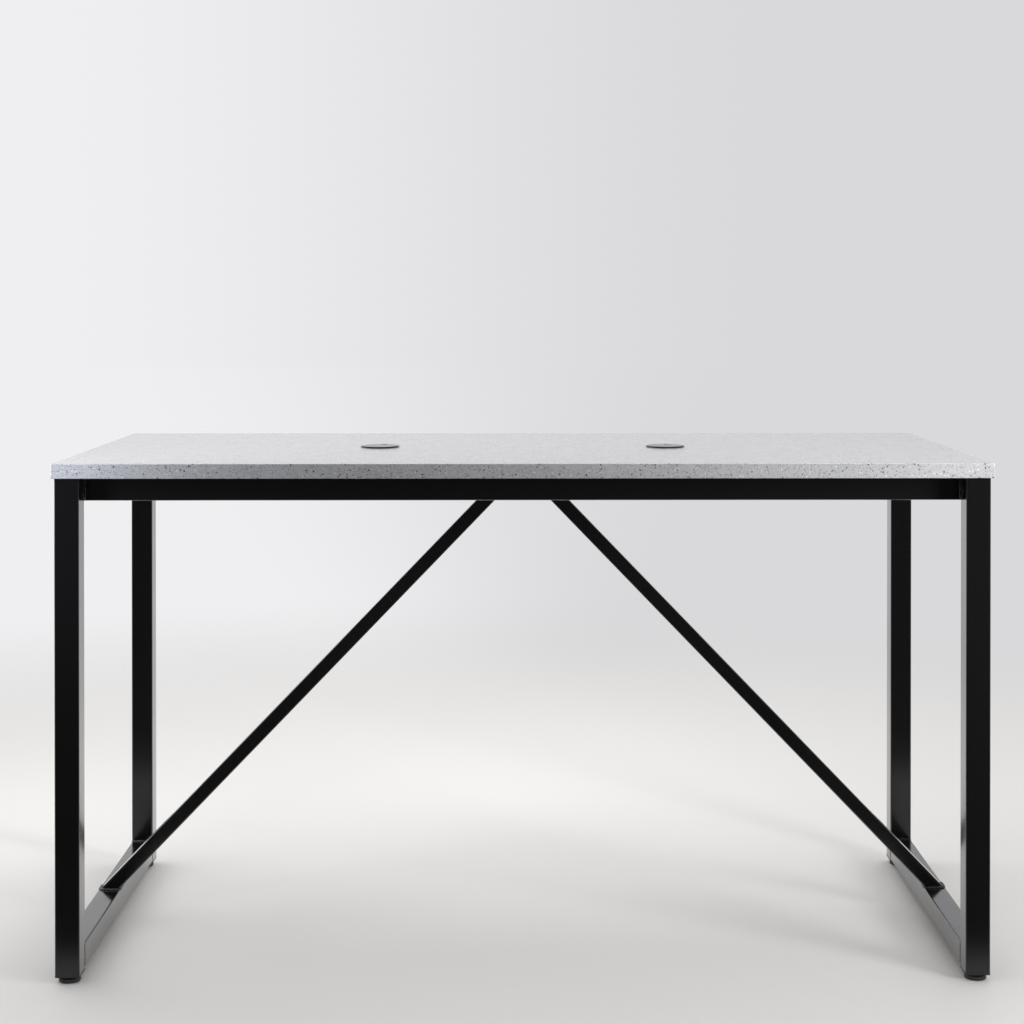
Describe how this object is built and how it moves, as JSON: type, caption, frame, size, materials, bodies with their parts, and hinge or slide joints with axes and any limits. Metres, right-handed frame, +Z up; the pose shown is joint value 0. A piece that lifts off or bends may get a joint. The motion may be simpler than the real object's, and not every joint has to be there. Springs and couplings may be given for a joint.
{
  "type": "high bench table",
  "caption": "High bench table: speckled stone slab with capped cable ports on a welded square-tube frame of two end hoops, long rails and diagonal braces, on levelling feet.",
  "frame": {"origin": "on the floor, under the middle of the table", "axes": "+X along the long side to the right as seen from the front, +Y to the rear, +Z up"},
  "size_m": [1.9, 0.8, 1.0535],
  "materials": {
    "stone_top": "honed, pale grey with dark and light specks",
    "powder_coated_steel": "black satin powder coat",
    "zinc_plated_steel": "zinc plated",
    "brass_insert": "machined",
    "black_plastic": "moulded matt",
    "port_plastic": "moulded satin"
  },
  "bodies": {
    "frame": {"worktop": "stone_top", "leg_front_left": "powder_coated_steel", "leg_front_right": "powder_coated_steel", "leg_rear_left": "powder_coated_steel", "leg_rear_right": "powder_coated_steel", "top_side_rail_left": "powder_coated_steel", "bottom_side_rail_left": "powder_coated_steel", "top_side_rail_right": "powder_coated_steel", "bottom_side_rail_right": "powder_coated_steel", "long_rail_front": "powder_coated_steel", "long_rail_rear": "powder_coated_steel", "cross_rail": "powder_coated_steel", "brace_left": "powder_coated_steel", "brace_right": "powder_coated_steel", "fixing_tab_front_left": "powder_coated_steel", "fixing_tab_front_right": "powder_coated_steel", "fixing_tab_rear_left": "powder_coated_steel", "fixing_tab_rear_right": "powder_coated_steel", "fixing_tab_middle_left": "powder_coated_steel", "fixing_tab_middle_right": "powder_coated_steel", "fixing_screw_front_left": "zinc_plated_steel", "fixing_screw_front_right": "zinc_plated_steel", "fixing_screw_rear_left": "zinc_plated_steel", "fixing_screw_rear_right": "zinc_plated_steel", "fixing_screw_middle_left": "zinc_plated_steel", "fixing_screw_middle_right": "zinc_plated_steel", "threaded_insert_front_left": "brass_insert", "threaded_insert_front_right": "brass_insert", "threaded_insert_rear_left": "brass_insert", "threaded_insert_rear_right": "brass_insert", "threaded_insert_middle_left": "brass_insert", "threaded_insert_middle_right": "brass_insert", "end_insert_front_left": "black_plastic", "end_insert_front_right": "black_plastic", "end_insert_rear_left": "black_plastic", "end_insert_rear_right": "black_plastic", "port_sleeve_left": "port_plastic", "port_sleeve_right": "port_plastic"},
    "port_cap_left": {"port_cap_left": "port_plastic"},
    "port_shutter_left": {"port_shutter_left": "port_plastic"},
    "port_cap_right": {"port_cap_right": "port_plastic"},
    "port_shutter_right": {"port_shutter_right": "port_plastic"},
    "foot_front_left": {"glide_pad_front_left": "black_plastic"},
    "stud_front_left": {"glide_stud_front_left": "zinc_plated_steel"},
    "foot_front_right": {"glide_pad_front_right": "black_plastic"},
    "stud_front_right": {"glide_stud_front_right": "zinc_plated_steel"},
    "foot_rear_left": {"glide_pad_rear_left": "black_plastic"},
    "stud_rear_left": {"glide_stud_rear_left": "zinc_plated_steel"},
    "foot_rear_right": {"glide_pad_rear_right": "black_plastic"},
    "stud_rear_right": {"glide_stud_rear_right": "zinc_plated_steel"}
  },
  "joints": [
    {"name": "port_cap_left_lift", "type": "slide", "parent": "frame", "child": "port_cap_left", "axis": [0, 0, 1], "range_m": [0, 0.06]},
    {"name": "port_shutter_left_turn", "type": "hinge", "parent": "port_cap_left", "child": "port_shutter_left", "pos_m": [-0.318, 0, 1.05], "axis": [0, 0, -1], "range_deg": [0, 25]},
    {"name": "port_cap_right_lift", "type": "slide", "parent": "frame", "child": "port_cap_right", "axis": [0, 0, 1], "range_m": [0, 0.06]},
    {"name": "port_shutter_right_turn", "type": "hinge", "parent": "port_cap_right", "child": "port_shutter_right", "pos_m": [0.318, 0, 1.05], "axis": [0, 0, -1], "range_deg": [0, 25]},
    {"name": "foot_front_left_travel", "type": "slide", "parent": "frame", "child": "foot_front_left", "axis": [0, 0, -1], "range_m": [0, 0.015]},
    {"name": "stud_front_left_turn", "type": "hinge", "parent": "foot_front_left", "child": "stud_front_left", "pos_m": [-0.92, -0.37, 0], "axis": [0, 0, -1], "range_deg": [0, 3601]},
    {"name": "foot_front_right_travel", "type": "slide", "parent": "frame", "child": "foot_front_right", "axis": [0, 0, -1], "range_m": [0, 0.015]},
    {"name": "stud_front_right_turn", "type": "hinge", "parent": "foot_front_right", "child": "stud_front_right", "pos_m": [0.92, -0.37, 0], "axis": [0, 0, -1], "range_deg": [0, 3601]},
    {"name": "foot_rear_left_travel", "type": "slide", "parent": "frame", "child": "foot_rear_left", "axis": [0, 0, -1], "range_m": [0, 0.015]},
    {"name": "stud_rear_left_turn", "type": "hinge", "parent": "foot_rear_left", "child": "stud_rear_left", "pos_m": [-0.92, 0.37, 0], "axis": [0, 0, -1], "range_deg": [0, 3601]},
    {"name": "foot_rear_right_travel", "type": "slide", "parent": "frame", "child": "foot_rear_right", "axis": [0, 0, -1], "range_m": [0, 0.015]},
    {"name": "stud_rear_right_turn", "type": "hinge", "parent": "foot_rear_right", "child": "stud_rear_right", "pos_m": [0.92, 0.37, 0], "axis": [0, 0, -1], "range_deg": [0, 3601]}
  ],
  "couplings": [
    {"joint": "stud_front_left_turn", "follows": "foot_front_left_travel", "rad_per_m": 4188.8},
    {"joint": "stud_front_right_turn", "follows": "foot_front_right_travel", "rad_per_m": 4188.8},
    {"joint": "stud_rear_left_turn", "follows": "foot_rear_left_travel", "rad_per_m": 4188.8},
    {"joint": "stud_rear_right_turn", "follows": "foot_rear_right_travel", "rad_per_m": 4188.8}
  ]
}
